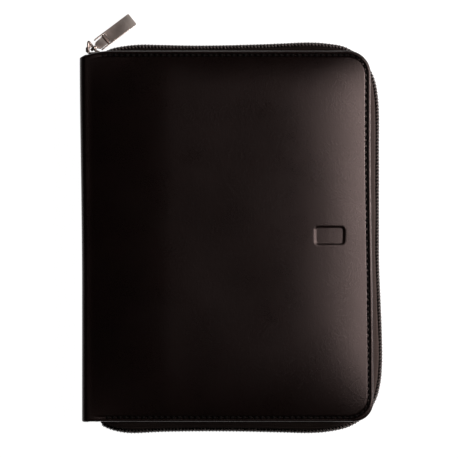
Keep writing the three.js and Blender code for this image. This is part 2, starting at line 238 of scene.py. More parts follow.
# ----------------------------------------------------------------- materials
class Nodes:
    def __init__(self, name):
        self.mat = bpy.data.materials.new(name)
        self.mat.use_nodes = True
        self.t = self.mat.node_tree
        self.bsdf = self.t.nodes["Principled BSDF"]
        self.coord = self.t.nodes.new("ShaderNodeTexCoord").outputs["Object"]

    def node(self, kind, **values):
        n = self.t.nodes.new(kind)
        for k, v in values.items():
            if hasattr(n, k):
                setattr(n, k, v)
        return n

    def link(self, a, b):
        self.t.links.new(a, b)

    def noise(self, scale, detail=4, rough=0.5, coord=None):
        n = self.node("ShaderNodeTexNoise")
        n.inputs["Scale"].default_value = scale
        n.inputs["Detail"].default_value = detail
        n.inputs["Roughness"].default_value = rough
        self.link(coord or self.coord, n.inputs["Vector"])
        return n.outputs["Fac"]

    def voronoi(self, scale, feature="F1", rand=1.0, coord=None):
        n = self.node("ShaderNodeTexVoronoi", feature=feature)
        n.inputs["Scale"].default_value = scale
        n.inputs["Randomness"].default_value = rand
        self.link(coord or self.coord, n.inputs["Vector"])
        return n.outputs["Distance"]

    def wave(self, scale, direction="X", distortion=0.0, coord=None, profile="SIN"):
        n = self.node("ShaderNodeTexWave", bands_direction=direction, wave_profile=profile)
        n.inputs["Scale"].default_value = scale
        n.inputs["Distortion"].default_value = distortion
        self.link(coord or self.coord, n.inputs["Vector"])
        return n.outputs["Fac"]

    def map(self, value, lo, hi, a=0.0, b=1.0):
        n = self.node("ShaderNodeMapRange")
        n.inputs["From Min"].default_value = a
        n.inputs["From Max"].default_value = b
        n.inputs["To Min"].default_value = lo
        n.inputs["To Max"].default_value = hi
        self.link(value, n.inputs["Value"])
        return n.outputs["Result"]

    def math(self, op, a, b=None):
        n = self.node("ShaderNodeMath", operation=op)
        for i, v in enumerate((a, b)):
            if v is None:
                continue
            if isinstance(v, (int, float)):
                n.inputs[i].default_value = v
            else:
                self.link(v, n.inputs[i])
        return n.outputs["Value"]

    def mix(self, fac, a, b):
        n = self.node("ShaderNodeMix", data_type="RGBA")
        self.link(fac, n.inputs["Factor"])
        n.inputs["A"].default_value = (*a, 1)
        n.inputs["B"].default_value = (*b, 1)
        return n.outputs["Result"]

    def bump(self, height, strength, distance, normal=None):
        n = self.node("ShaderNodeBump")
        n.inputs["Strength"].default_value = strength
        n.inputs["Distance"].default_value = distance
        self.link(height, n.inputs["Height"])
        if normal is not None:
            self.link(normal, n.inputs["Normal"])
        return n.outputs["Normal"]

    def scaled(self, sx, sy, sz):
        n = self.node("ShaderNodeMapping")
        n.inputs["Scale"].default_value = (sx, sy, sz)
        self.link(self.coord, n.inputs["Vector"])
        return n.outputs["Vector"]

    def done(self, color=None, rough=None, normal=None, **consts):
        b = self.bsdf
        if color is not None:
            if isinstance(color, tuple):
                b.inputs["Base Color"].default_value = (*color, 1)
            else:
                self.link(color, b.inputs["Base Color"])
        if rough is not None:
            if isinstance(rough, (int, float)):
                b.inputs["Roughness"].default_value = rough
            else:
                self.link(rough, b.inputs["Roughness"])
        if normal is not None:
            self.link(normal, b.inputs["Normal"])
        for k, v in consts.items():
            b.inputs[k.replace("_", " ")].default_value = v
        return self.mat


def make_leather(name, dark=(0.0013, 0.0005, 0.0004), light=(0.0028, 0.0011, 0.0009), r0=0.25, r1=0.335, grain=1.0):
    n = Nodes(name)
    warp = n.noise(900, 3, 0.6)
    cells = n.voronoi(2700, "F1")
    fine = n.noise(5200, 5, 0.65)
    pores = n.voronoi(1250, "SMOOTH_F1")
    height = n.math("ADD", n.math("MULTIPLY", cells, 0.55), n.math("MULTIPLY", fine, 0.45))
    height = n.math("ADD", height, n.math("MULTIPLY", warp, 0.35))
    wrinkle = n.noise(160, 4, 0.6)
    nb = n.bump(wrinkle, 0.05 * grain, 0.0006)
    nb = n.bump(pores, 0.10 * grain, 0.00025, nb)
    nb = n.bump(height, 0.34 * grain, 0.00011, nb)
    tone = n.math("ADD", n.math("MULTIPLY", n.noise(60, 4, 0.6), 0.6), n.math("MULTIPLY", n.noise(1500, 3, 0.5), 0.4))
    color = n.mix(n.map(tone, 0, 1, 0.3, 0.7), dark, light)
    rough = n.map(n.math("ADD", n.math("MULTIPLY", n.noise(2200, 3, 0.6), 0.6), n.math("MULTIPLY", n.noise(45, 3, 0.5), 0.4)), r0, r1, 0.3, 0.7)
    return n.done(color, rough, nb, IOR=1.5, Specular_IOR_Level=0.34, Specular_Tint=(1.0, 0.86, 0.84, 1.0))


def make_fabric(name, a, b, scale=1500, rough=0.85, strength=0.5, sheen=0.25, painted_light=None):
    n = Nodes(name)
    wx = n.wave(scale / 6.0, "X", 0.4)
    wy = n.wave(scale / 6.0, "Y", 0.4)
    wz = n.wave(scale / 6.0, "Z", 0.4)
    weave = n.math("MULTIPLY", n.math("ADD", wx, wz), n.math("ADD", wy, 0.35))
    fuzz = n.noise(scale * 3, 4, 0.6)
    height = n.math("ADD", weave, n.math("MULTIPLY", fuzz, 0.5))
    nb = n.bump(height, strength, 0.00012)
    color = n.mix(n.map(n.math("ADD", n.math("MULTIPLY", weave, 0.4), n.math("MULTIPLY", fuzz, 0.6)), 0, 1, 0.2, 1.0), a, b)
    if painted_light:
        # painted highlight along the fore edge: the cloth is made lighter there to stand in for the light from the
        # right falling on that side
        sep = n.node("ShaderNodeSeparateXYZ")
        n.link(n.coord, sep.inputs["Vector"])
        m = n.node("ShaderNodeMix", data_type="RGBA")
        n.link(n.map(n.math("ADD", sep.outputs["X"], n.math("MULTIPLY", fuzz, 0.0006)), 0.0, 1.0, 0.0480, 0.0715), m.inputs["Factor"])
        n.link(color, m.inputs["A"])
        m.inputs["B"].default_value = (*painted_light, 1)
        color = m.outputs["Result"]
    return n.done(color, n.map(fuzz, rough - 0.08, min(1.0, rough + 0.08), 0.3, 0.7), nb, Sheen_Weight=sheen, Sheen_Roughness=0.5)


def make_metal(name, color, color2, r0, r1, brush=(40, 900, 900), bump=0.05):
    n = Nodes(name)
    streak = n.noise(3.0, 4, 0.6, n.scaled(*brush))
    cloud = n.noise(260, 3, 0.6)
    fine = n.noise(6500, 3, 0.6)
    nb = n.bump(n.math("ADD", streak, n.math("MULTIPLY", fine, 0.4)), bump, 0.00008)
    col = n.mix(n.map(cloud, 0, 1, 0.3, 0.7), color, color2)
    rough = n.map(n.math("ADD", n.math("MULTIPLY", streak, 0.6), n.math("MULTIPLY", cloud, 0.4)), r0, r1, 0.3, 0.7)
    return n.done(col, rough, nb, Metallic=1.0)


def make_thread(name, a=(0.0008, 0.0007, 0.0007), b=(0.0036, 0.0031, 0.0029)):
    n = Nodes(name)
    twist = n.wave(700, "DIAGONAL", 1.5)
    fuzz = n.noise(9000, 3, 0.6)
    nb = n.bump(n.math("ADD", twist, n.math("MULTIPLY", fuzz, 0.5)), 0.6, 0.0001)
    return n.done(n.mix(twist, a, b), n.map(fuzz, 0.75, 0.92, 0.3, 0.7), nb, Specular_IOR_Level=0.06)


def make_paper_block(name):
    n = Nodes(name)
    leaves = n.wave(1500, "Z", 1.2)
    speck = n.noise(2600, 4, 0.7)
    cloud = n.noise(30, 2, 0.5)
    stripes = n.math("ADD", n.math("MULTIPLY", leaves, 0.6), n.math("MULTIPLY", speck, 0.4))
    col = n.mix(n.map(stripes, 0, 1, 0.15, 0.85), (0.60, 0.56, 0.47), (0.84, 0.81, 0.72))
    nb = n.bump(stripes, 0.35, 0.0001)
    return n.done(col, n.map(cloud, 0.78, 0.92, 0.3, 0.7), nb)


def make_card(name, a, b, rough=0.55):
    n = Nodes(name)
    fib = n.noise(1400, 5, 0.7)
    cloud = n.noise(70, 3, 0.5)
    nb = n.bump(fib, 0.15, 0.00008)
    return n.done(n.mix(n.map(n.math("ADD", n.math("MULTIPLY", fib, 0.6), n.math("MULTIPLY", cloud, 0.4)), 0, 1, 0.3, 0.7), a, b),
                  n.map(fib, rough - 0.06, rough + 0.1, 0.3, 0.7), nb)


def make_coil(name, light):
    n = Nodes(name)
    mark = n.noise(3000, 3, 0.6)
    nb = n.bump(mark, 0.12, 0.00006)
    # painted highlight on the loops' outer tops, where they stand proud in the light, and painted shade, near black,
    # between the two rows
    sep = n.node("ShaderNodeSeparateXYZ")
    n.link(n.coord, sep.inputs["Vector"])
    away = n.math("ABSOLUTE", n.math("SUBTRACT", sep.outputs["Z"], MID * MM))
    # mask for the painted highlight: 0 near the middle plane, 1 on the outer tops
    painted_light = n.map(n.math("ADD", away, n.math("MULTIPLY", mark, 0.0004)), 0.0, 1.0, 0.0024, 0.0032)
    return n.done(n.mix(painted_light, (0.0016, 0.0013, 0.0012), light), n.map(mark, 0.34, 0.46, 0.3, 0.7), nb,
                  Specular_IOR_Level=0.30)


M_LEATHER = make_leather("leather_cover")
M_EDGE = make_leather("leather_edge_dye", (0.0022, 0.0014, 0.0012), (0.0050, 0.0034, 0.0030), 0.72, 0.85, 1.2)
M_EDGE.node_tree.nodes["Principled BSDF"].inputs["Specular IOR Level"].default_value = 0.12
M_LEATHER_IN = make_leather("leather_inner", (0.010, 0.008, 0.0075), (0.020, 0.016, 0.015), 0.5, 0.62, 0.8)
M_LINING = make_fabric("lining_cloth", (0.012, 0.010, 0.010), (0.032, 0.028, 0.027), 1500, 0.85)
# the tape's colour lightens towards the fore edge, a painted highlight for the light on that side
M_TAPE = make_fabric("zip_tape_weave", (0.0040, 0.0031, 0.0028), (0.0150, 0.0118, 0.0108), 2100, 0.90, 0.35, 0.0, (0.040, 0.0320, 0.0300))
M_TAPE.node_tree.nodes["Principled BSDF"].inputs["Specular IOR Level"].default_value = 0.0
M_ELASTIC = make_fabric("elastic_web", (0.008, 0.008, 0.008), (0.03, 0.03, 0.03), 2400, 0.8, 0.8)
M_NICKEL = make_metal("satin_nickel", (0.365, 0.315, 0.287), (0.44, 0.388, 0.355), 0.27, 0.38)
M_PIN = make_metal("worn_nickel", (0.13, 0.105, 0.093), (0.18, 0.148, 0.132), 0.45, 0.55)
M_RING = make_metal("ring_plate", (0.70, 0.69, 0.68), (0.78, 0.78, 0.78), 0.10, 0.20, (60, 60, 60), 0.02)
M_THREAD = make_thread("stitch_thread")
# one nylon in two copies: the front row's with a painted highlight, the back row's much darker, painted shade for the
# front row's shadow
M_COIL = make_coil("zip_coil_nylon", (0.080, 0.067, 0.063))
M_COIL_SHADED = make_coil("zip_coil_nylon_painted_shade", (0.0050, 0.0042, 0.0040))
M_PAPER = make_paper_block("paper_leaves")
M_BOARD = make_card("grey_board", (0.22, 0.19, 0.15), (0.33, 0.29, 0.24), 0.85)
M_FOAM = make_card("foam_pad", (0.12, 0.115, 0.11), (0.2, 0.19, 0.185), 0.9)
M_DIV = [make_card("divider_card_%d" % i, a, b) for i, (a, b) in enumerate([
    ((0.46, 0.40, 0.28), (0.55, 0.48, 0.35)), ((0.30, 0.36, 0.33), (0.37, 0.43, 0.40)),
    ((0.40, 0.27, 0.22), (0.48, 0.33, 0.27)), ((0.26, 0.31, 0.40), (0.33, 0.38, 0.47))])]
M_FLY = make_card("flyleaf_card", (0.05, 0.047, 0.045), (0.09, 0.085, 0.08), 0.4)


def paint(node, mat):
    ob = NODES[node]
    ob.data.materials.clear()
    ob.data.materials.append(mat)


for _n in ("front_lining", "back_lining", "spine_lining"):
    paint(_n, M_LINING)
for _n in ("front_pocket", "back_pocket", "card_slot_1", "card_slot_2", "card_slot_3"):
    paint(_n, M_LEATHER_IN)
for _n in ("front_board", "back_board", "spine_board"):
    paint(_n, M_BOARD)
paint("front_foam", M_FOAM)
for _n in ("pages_1", "pages_2", "pages_3", "pages_4"):
    paint(_n, M_PAPER)
for _i in range(4):
    paint("divider_%d" % (_i + 1), M_DIV[_i])
for _n in ("flyleaf_front", "flyleaf_back"):
    paint(_n, M_FLY)
for _n in ("ring_base", "base_rivet_1", "base_rivet_2", "blade_front", "blade_back", "lever_top", "lever_bottom"):
    paint(_n, M_RING)
for _n in ("bottom_stop", "slider_body", "slider_crown", "pull_link", "pull_tab"):
    paint(_n, M_NICKEL)
paint("pen_loop", M_ELASTIC)


# ------------------------------------------------------------- cover outline
def top_y(x):
    """Head edge of the leather: level, then dropping to the spine."""
    x = np.asarray(x, float)
    t = np.clip((X_BEND - x) / (X_BEND + 72.6), 0, 1.1)
    return Y_TOP - 3.1 * t ** 1.9


def right_x(y):
    """Fore edge of the leather: it leans out a little towards the tail."""
    return X_RIGHT + LEAN * smooth((45.0 - np.asarray(y, float)) / 115.0)


def inset(x, y, r_bottom=R_BOTTOM):
    """Distance in from the leather's edge (head, fore edge and tail)."""
    x, y = np.broadcast_arrays(np.asarray(x, float), np.asarray(y, float))
    yt = top_y(x)
    x = x - (right_x(y) - X_RIGHT)
    d = np.minimum(np.minimum(X_RIGHT - x, yt - y), y - Y_BOTTOM)
    cx, cy = X_RIGHT - R_TOP, Y_TOP - R_TOP
    m = (x > cx) & (y > cy)
    d = np.where(m, np.minimum(d, R_TOP - np.hypot(x - cx, y - cy)), d)
    cx, cy = X_RIGHT - r_bottom, Y_BOTTOM + r_bottom
    m = (x > cx) & (y < cy)
    d = np.where(m, np.minimum(d, r_bottom - np.hypot(x - cx, y - cy)), d)
    return d


def shoulder(t, k=2.4):
    t = np.clip(t, 0, 1)
    return 1 - (1 - t) ** k


R_SEAM = 12.2                  # the stitch line turns the tail corner more widely than the edge


def seam(x, y):
    return np.exp(-(np.abs(inset(x, y, R_SEAM) - STITCH_IN) / 0.70) ** 4) * smooth((x + 68) / 14)


PLATE = (47.3, 1.2, 7.0, 4.2, 1.6)   # blank pressed panel: centre, half sizes, corner


def pressed(x, y):
    cx, cy, hx, hy, r = PLATE
    qx = np.abs(x - cx) - hx + r
    qy = np.abs(y - cy) - hy + r
    s = np.hypot(np.maximum(qx, 0), np.maximum(qy, 0)) + np.minimum(np.maximum(qx, qy), 0) - r
    return smooth(0.5 - s / 0.7)


def swell(d, run, k):
    """Padding across one side: 0 at its edge, 1 where it is full."""
    return 1 - np.clip(1 - d / run, 0, 1) ** k


def front_height(x, y):
    d = inset(x, y)
    right = swell(right_x(y) - x - 2.9, 60.0, 3.2)
    top = swell(top_y(x) - y - 2.9, 42.0, 4.0)
    bottom = swell(y - Y_BOTTOM - 2.9, 58.0, 3.4)
    left = swell(x + 67.5, 38.0, 1.55)
    z = 38.0 - 0.80 * seam(x, y)
    z = z - 0.19 * np.clip(1.50 - d, 0, 1.50)
    z = z + 3.75 * right * top * bottom * left
    z = z - 0.42 * pressed(x, y)
    z = z + 0.06 * np.sin(x * 0.11 + 1.3) * np.sin(y * 0.085 + 0.4) * right * top * bottom * left
    return z


def back_height(x, y):
    d = inset(x, y)
    return 38.0 - 0.6 * seam(x, y) - 0.2 * np.clip(1.45 - d, 0, 1.45)


def spine_x(y):
    """Outer face of the spine: it leans out slightly at the head."""
    return -71.55 - 1.1 * smooth((np.asarray(y, float) + 25) / 118)


def steps(pairs):
    """Positions from (up to, spacing) pairs, starting at 0."""
    out, at = [0.0], 0.0
    for end, gap in pairs:
        n = max(1, int(round((end - at) / gap)))
        out += list(np.linspace(at, end, n + 1)[1:])
        at = end
    return np.array(out)


def cover_skin(name, height, mirror, detail=True):
    """Leather over one cover and half of the spine, as one closed skin with a turned edge."""
    # columns: up the spine, round its corner, then across to the fore edge
    e = steps([(4.2, 0.21), (12, 0.75), (13, 0.5), (28.5, 0.55 if detail else 1.6), (36, 1.2), (118, 2.3), (128, 1.1)])
    # rows from the tail to the head
    low = steps([(4.2, 0.21), (11, 0.65), (26, 1.4)])
    rows_mid = np.concatenate([np.linspace(-61, -7, 26), np.arange(-6.4, 7.0, 0.55), np.linspace(8, 62, 26)])
    yb, yt = Y_BOTTOM + NOSE, Y_TOP - NOSE
    rows = np.concatenate([yb + low, rows_mid[rows_mid > yb + 26.8], ])
    rows = np.concatenate([rows[rows < yt - 27], (yt - low)[::-1]])
    rows = np.unique(np.round(rows, 4))
    rc = 2.8                       # radius of the spine's corner
    spine_z = np.concatenate([np.linspace(MID, 38 - rc, 9)[:-1]])
    arc = np.linspace(0, math.pi / 2, 13)
    verts = []
    ncol = len(spine_z) + len(arc) + len(e)
    for y0 in rows:
        # right limit of this row, inside the turned edge
        xr = X_RIGHT - NOSE
        rt, rb = R_TOP - NOSE, R_BOTTOM - NOSE
        if y0 > yt - rt:
            xr = xr - rt + math.sqrt(max(0, rt * rt - (y0 - (yt - rt)) ** 2))
        if y0 < yb + rb:
            xr = xr - rb + math.sqrt(max(0, rb * rb - ((yb + rb) - y0) ** 2))
        xr += float(right_x(y0)) - X_RIGHT
        xs0 = float(spine_x(y0))
        w = smooth((y0 - 20) / 68.0)
        for z in spine_z:
            verts.append((xs0, y0 - w * (Y_TOP - top_y(xs0)), z))
        for a in arc:
            x = xs0 + rc - rc * math.cos(a)
            verts.append((x, y0 - w * (Y_TOP - top_y(x)), 38 - rc + rc * math.sin(a)))
        # the rest runs from the corner to the fore edge
        x0 = xs0 + rc
        span = xr - x0
        ee = e.copy()
        far = ee > 30
        ee[far] = 30 + (ee[far] - 30) * (span - 1.0 - 30) / (128 - 30)
        xx = (xr - ee)[::-1]
        yy = y0 - w * (Y_TOP - top_y(xx))
        zz = height(xx, yy)
        for x, y, z in zip(xx, yy, zz):
            verts.append((x, y, z))
    v = np.array(verts)
    nr = len(rows)
    V = v.reshape(nr, ncol, 3)
    # surface normals from the grid
    du = np.gradient(V, axis=1)
    dv = np.gradient(V, axis=0)
    N = np.cross(du, dv)
    N /= np.linalg.norm(N, axis=2)[:, :, None] + 1e-12
    # inner face: thick at the turned edge, thin elsewhere
    X, Y = V[:, :, 0], V[:, :, 1]
    d = inset(X, Y)
    on_spine = V[:, :, 2] < 38 - rc + 0.5
    thick = 1.05 + (EDGE_T - 1.05) * (1 - smooth((d - NOSE) / 2.2))
    thick = np.where(on_spine & (np.abs(Y - (Y_BOTTOM + Y_TOP) / 2) < 80), 1.05, thick)
    inner = V - N * thick[:, :, None]
    # boundary ring: tail row, fore column, head row (open at the mid spine column)
    idx = [(0, j) for j in range(ncol)] + [(i, ncol - 1) for i in range(1, nr)] + [(nr - 1, j) for j in range(ncol - 2, -1, -1)]
    B = np.array([V[i, j] for i, j in idx])
    NB = np.array([N[i, j] for i, j in idx])
    tang = np.gradient(B, axis=0)
    tang /= np.linalg.norm(tang, axis=1)[:, None] + 1e-12
    # tangents are central differences, the mean of the two segments at each point, so that the turned edge runs
    # smoothly round the corners
    T = np.cross(tang, NB)
    T /= np.linalg.norm(T, axis=1)[:, None] + 1e-12
    th = thick_b = np.array([thick[i, j] for i, j in idx])
    ring = []
    for a in np.linspace(0, math.pi, 9)[1:-1]:
        r = th / 2
        ring.append(B + T * (NOSE * math.sin(a)) - NB * (r * (1 - math.cos(a)))[:, None])
    ring = np.array(ring)
    nb = len(idx)
    all_v = np.vstack([V.reshape(-1, 3), inner.reshape(-1, 3), ring.reshape(-1, 3)])
    off_in = nr * ncol
    off_ring = 2 * nr * ncol
    faces = grid_faces(nr, ncol, 0)
    faces += grid_faces(nr, ncol, off_in, flip=True)
    outer_ids = [i * ncol + j for i, j in idx]
    inner_ids = [off_in + k for k in outer_ids]
    chain = [outer_ids] + [[off_ring + r * nb + k for k in range(nb)] for r in range(len(ring))] + [inner_ids]
    n_face = len(faces)
    for r in range(len(chain) - 1):
        a, b = chain[r], chain[r + 1]
        for k in range(nb - 1):
            faces.append((a[k], b[k], b[k + 1], a[k + 1]))
    dyed = range(n_face + 3 * (nb - 1), len(faces))
    # close the cut along the middle of the spine
    for i in range(nr - 1):
        a, b = i * ncol, (i + 1) * ncol
        faces.append((a, b, off_in + b, off_in + a))
    # end caps where the turned edge meets the cut
    tail = [c[0] for c in chain]
    head = [c[-1] for c in chain]
    faces.append(tuple(tail))
    faces.append(tuple(head[::-1]))
    if mirror:
        all_v[:, 2] = 2 * MID - all_v[:, 2]
    ob = mesh_obj(name, all_v, faces, [M_LEATHER, M_EDGE])
    for k in dyed:
        ob.data.polygons[k].material_index = 1
    fix_normals(ob)
    ob.data.set_sharp_from_angle(angle=math.radians(60))
    return ob


skin_front = cover_skin("skin_front", front_height, False)
skin_back = cover_skin("skin_back", back_height, True, detail=False)
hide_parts("front_leather", "front_foam")
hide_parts("back_leather", "spine_leather")
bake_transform(skin_front)
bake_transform(skin_back)


# ------------------------------------------------------------------ stitches
def edge_line(dist, x_start=-63.0):
    """The line at a set distance in from the leather's edge, from the head of the spine round to its tail."""
    pts = []
    for x in np.linspace(x_start, X_RIGHT - R_TOP, 60):
        pts.append((x, float(top_y(x)) - dist))
    r = R_TOP - dist
    for a in np.linspace(math.pi / 2, 0, 14)[1:]:
        pts.append((X_RIGHT - R_TOP + r * math.cos(a), Y_TOP - R_TOP + r * math.sin(a)))
    r = R_SEAM - dist
    for y in np.linspace(Y_TOP - R_TOP, Y_BOTTOM + R_SEAM, 60)[1:-1]:
        pts.append((X_RIGHT - dist, y))
    for a in np.linspace(0, -math.pi / 2, 14):
        pts.append((X_RIGHT - R_SEAM + r * math.cos(a), Y_BOTTOM + R_SEAM + r * math.sin(a)))
    pts.append((x_start, Y_BOTTOM + dist))
    pts = np.array(pts)
    w = smooth((pts[:, 0] - 20) / 36.0)
    pts[:, 0] += w * (right_x(pts[:, 1]) - X_RIGHT)
    return pts


def stitches(name, height, mirror, body):
    line, s = resample(edge_line(STITCH_IN), step=0.2)
    total = s[-1]
    n = int(total / PITCH)
    parts = []
    for k in range(n):
        mid = (k + 0.5) * PITCH + 0.2
        ss = mid + np.linspace(-0.5, 0.5, 7) * 2.1
        lift = np.array([-0.52, -0.05, 0.20, 0.28, 0.20, -0.05, -0.52])
        fat = np.array([0.62, 0.92, 1.0, 1.03, 1.0, 0.92, 0.62])
        x = np.interp(ss, s, line[:, 0])
        y = np.interp(ss, s, line[:, 1])
        skew = np.linspace(-0.07, 0.07, 7)
        tx, ty = x[-1] - x[0], y[-1] - y[0]
        L = math.hypot(tx, ty)
        x = x + skew * (-ty / L)
        y = y + skew * (tx / L)
        z = 38.0 - 0.62 + lift + 0 * x
        pts = np.stack([x, y, z], 1)
        parts.append(tube(pts, circle(0.36, 8, 0.68), up=(0, 0, 1), scale=fat))
    v, f = join(parts)
    if mirror:
        v[:, 2] = 2 * MID - v[:, 2]
        v[:, 2] += 0.0
    ob = mesh_obj(name, v, f, M_THREAD)
    fix_normals(ob)
    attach(ob, body)
    return ob


stitches("stitches_front", front_height, False, "front_cover")
stitches("stitches_back", back_height, True, "back_cover")


# ----------------------------------------------------------------------- zip
ZIP_PTS = [(-61.1, 88.3), (-59.2, 89.3), (-56.3, 90.35), (-50.5, 91.35), (-44, 91.95), (-34, 91.8), (-17, 91.5), (0, 91.7), (14, 92.1), (24.5, 92.5),
           (34, 92.95), (40, 92.95), (46, 92.5), (54.8, 90.8), (62.4, 85.6), (67.5, 77.5), (69.65, 67), (70.05, 40),
           (70.05, 10), (70.15, -14), (70.7, -28), (71.3, -42), (71.6, -54), (71.45, -63), (70.75, -70),
           (68.6, -77.8), (63.9, -85.0), (56.3, -89.9), (46.5, -92.15), (38, -92.75), (24, -92.45), (4, -92.0),
           (-15, -91.9), (-34, -92.2), (-48, -92.8), (-53.5, -92.2), (-58.3, -90.9), (-61.2, -89.5), (-63.2, -88.3)]
_zip, _zs = resample(catmull([(x, y, 0) for x, y in ZIP_PTS], 14), step=0.5)


def zip_at(s):
    """Point, direction and outward side of the zip line at distance s."""
    x = np.interp(s, _zs, _zip[:, 0])
    y = np.interp(s, _zs, _zip[:, 1])
    e = 0.6
    tx = np.interp(s + e, _zs, _zip[:, 0]) - np.interp(s - e, _zs, _zip[:, 0])
    ty = np.interp(s + e, _zs, _zip[:, 1]) - np.interp(s - e, _zs, _zip[:, 1])
    L = np.hypot(tx, ty) + 1e-12
    tx, ty = tx / L, ty / L
    return x, y, tx, ty, -ty, tx


TOOTH = 1.64


def coil(name, side, body):
    """One row of the coil: a flattened spiral whose heads meet the other row's."""
    total = _zs[-1] - 0.6
    turns = int(total / TOOTH)
    per = 12
    k = np.arange(turns * per + 1)
    ph = k / per * 2 * np.pi
    s = 0.3 + k / per * TOOTH + (0.5 * TOOTH if side < 0 else 0.0)
    s = s + 0.16 * np.sin(2 * ph)
    x, y, tx, ty, ox, oy = zip_at(s)
    # head towards the middle plane, swollen; tail at the tape
    z = MID + side * (1.70 - 0.92 * np.cos(ph))
    out = 0.70 * np.sin(ph) + (0.42 if side > 0 else 0.36)
    pts = np.stack([x + ox * out, y + oy * out, z], 1)
    fat = 1.0 + 0.22 * np.clip(np.cos(ph), 0, 1) ** 2
    v, f = tube(pts, circle(0.43, 8), scale=fat)
    # the back row takes the darker copy of the nylon, painted shade
    ob = mesh_obj(name, v, f, M_COIL if side > 0 else M_COIL_SHADED)
    fix_normals(ob)
    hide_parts(name.replace("_teeth", "_coil"))
    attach(ob, body)
    # filler cord and the seam threads that hold the row to its tape
    s = np.arange(0.3, total, 1.5)
    x, y, tx, ty, ox, oy = zip_at(s)
    core = tube(np.stack([x + ox * 0.2, y + oy * 0.2, MID + side * 1.75 + 0 * x], 1), circle(0.38, 8))
    rows = [core]
    for h, o in ((3.35, -0.66), (4.0, -0.64)):
        ss = np.arange(0.5, total, 0.41)
        x, y, tx, ty, ox, oy = zip_at(ss)
        wob = 0.10 * np.sin(ss / TOOTH * 2 * np.pi)
        rows.append(tube(np.stack([x + ox * (o + wob), y + oy * (o + wob), MID + side * (h + 0 * x)], 1), circle(0.16, 6)))
    v, f = join(rows)
    th = mesh_obj(name.replace("_teeth", "_coil_threads"), v, f, M_THREAD)
    fix_normals(th)
    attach(th, body)
    return ob


coil("front_teeth", 1, "front_cover")
coil("back_teeth", -1, "back_cover")


def tape(name, side, body):
    """Woven tape from the coil up to the seam under the leather's edge."""
    s = np.arange(0.2, _zs[-1] - 0.2, 1.2)
    x, y, tx, ty, ox, oy = zip_at(s)
    # foot of the tape, under the leather: straight in to a line 1.9 mm inside the edge
    px, py = x.copy(), y.copy()
    for _ in range(6):
        d = inset(px, py)
        e = 0.05
        gx = (inset(px + e, py) - inset(px - e, py)) / (2 * e)
        gy = (inset(px, py + e) - inset(px, py - e)) / (2 * e)
        g = gx * gx + gy * gy + 1e-9
        px = px + (2.0 - d) * gx / g
        py = py + (2.0 - d) * gy / g
    # section from the coil up to the seam: lean towards the foot, offset outwards, height
    section = catmull([(0, -0.80, 2.2), (0, -0.72, 5.5), (0, -0.64, 9.5), (0, -0.64, 12.4), (0.02, -0.80, 14.0), (0.12, -0.95, 14.85),
                       (0.36, -0.85, 15.4), (0.66, -0.5, 15.8), (1.0, 0.0, 16.15)], 4)
    lat = section[:, 1] - section[:, 0] * 4.3
    tl, th = np.gradient(lat), np.gradient(section[:, 2])
    nrm = np.hypot(tl, th)
    nl, nh = th / nrm, -tl / nrm
    rows_out, rows_in = [], []
    m = len(section)
    for k in range(m):
        lean, out, h = section[k]
        qx = x + (px - x) * lean
        qy = y + (py - y) * lean
        wave = 0.10 * np.sin(s * 0.19 + 1.1 * side) * math.sin(math.pi * (h - 2.6) / 13.7)
        o1, o2 = out + wave, out + wave - 0.5 * nl[k]
        rows_out.append(np.stack([qx + ox * o1, qy + oy * o1, MID + side * (h + 0 * x)], 1))
        rows_in.append(np.stack([qx + ox * o2, qy + oy * o2, MID + side * (h - 0.5 * nh[k] + 0 * x)], 1))
    O = np.array(rows_out)
    I = np.array(rows_in)
    loop = np.concatenate([O, I[::-1]], 0)            # (2m, n, 3): a closed section at each station
    n = len(s)
    v = loop.transpose(1, 0, 2).reshape(-1, 3)
    f = grid_faces(n, 2 * m, 0, closed_cols=True)
    f.append(tuple(range(2 * m)))
    f.append(tuple(range((n - 1) * 2 * m, n * 2 * m))[::-1])
    ob = mesh_obj(name, v, f, M_TAPE)
    fix_normals(ob)
    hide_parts(name.replace("_tape_cloth", "_tape"))
    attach(ob, body)
    return ob


tape("front_tape_cloth", 1, "front_cover")
tape("back_tape_cloth", -1, "back_cover")


# --------------------------------------------------------------------- rings
def half_ring(name, side, y, node, body):
    a0 = math.pi - math.asin(RING_FOOT / RING_R)
    pts = [(-65.5, y, MID + side * RING_FOOT), (-65.0, y, MID + side * RING_FOOT), (-64.3, y, MID + side * RING_FOOT)]
    for a in np.linspace(a0, 0.0145, 44):
        pts.append((RING_X + RING_R * math.cos(a), y, MID + side * RING_R * math.sin(a)))
    v, f = tube(np.array(pts), circle(WIRE_R, 20), up=(0, 1, 0))
    ob = mesh_obj(name, v, f, M_RING, auto=50)
    fix_normals(ob)
    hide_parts(node)
    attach(ob, body)


for _i, _y in enumerate(RING_Y):
    half_ring("half_ring_front_%d" % (_i + 1), 1, _y, "ring_front_%d" % (_i + 1), "ring_half_front")
    half_ring("half_ring_back_%d" % (_i + 1), -1, _y, "ring_back_%d" % (_i + 1), "ring_half_back")


# -------------------------------------------------------------- slider, pull
def bevelled(name, verts, faces, mat, width, segments=3, angle=30):
    ob = mesh_obj(name, verts, faces, mat)
    fix_normals(ob)
    mod = ob.modifiers.new("edge", "BEVEL")
    mod.width = width * MM
    mod.segments = segments
    mod.limit_method = "ANGLE"
    mod.angle_limit = math.radians(angle)
    mod.harden_normals = False
    bake_modifiers(ob)
    ob.data.polygons.foreach_set("use_smooth", [True] * len(ob.data.polygons))
    try:
        ob.data.set_sharp_from_angle(angle=math.radians(40))
    except Exception:
        pass
    return ob


def prism(outline, z0, z1, axis=2):
    """A closed prism over an outline (a, b), between two heights along axis."""
    n = len(outline)
    lo, hi = [], []
    for a, b in outline:
        if axis == 2:
            lo.append((a, b, z0)); hi.append((a, b, z1))
        else:                      # outline in (x, z), height along y
            lo.append((a, z0, b)); hi.append((a, z1, b))
    v = lo + hi
    f = [tuple(range(n))[::-1], tuple(range(n, 2 * n))]
    for i in range(n):
        j = (i + 1) % n
        f.append((i, j, n + j, n + i))
    return np.array(v, float), f


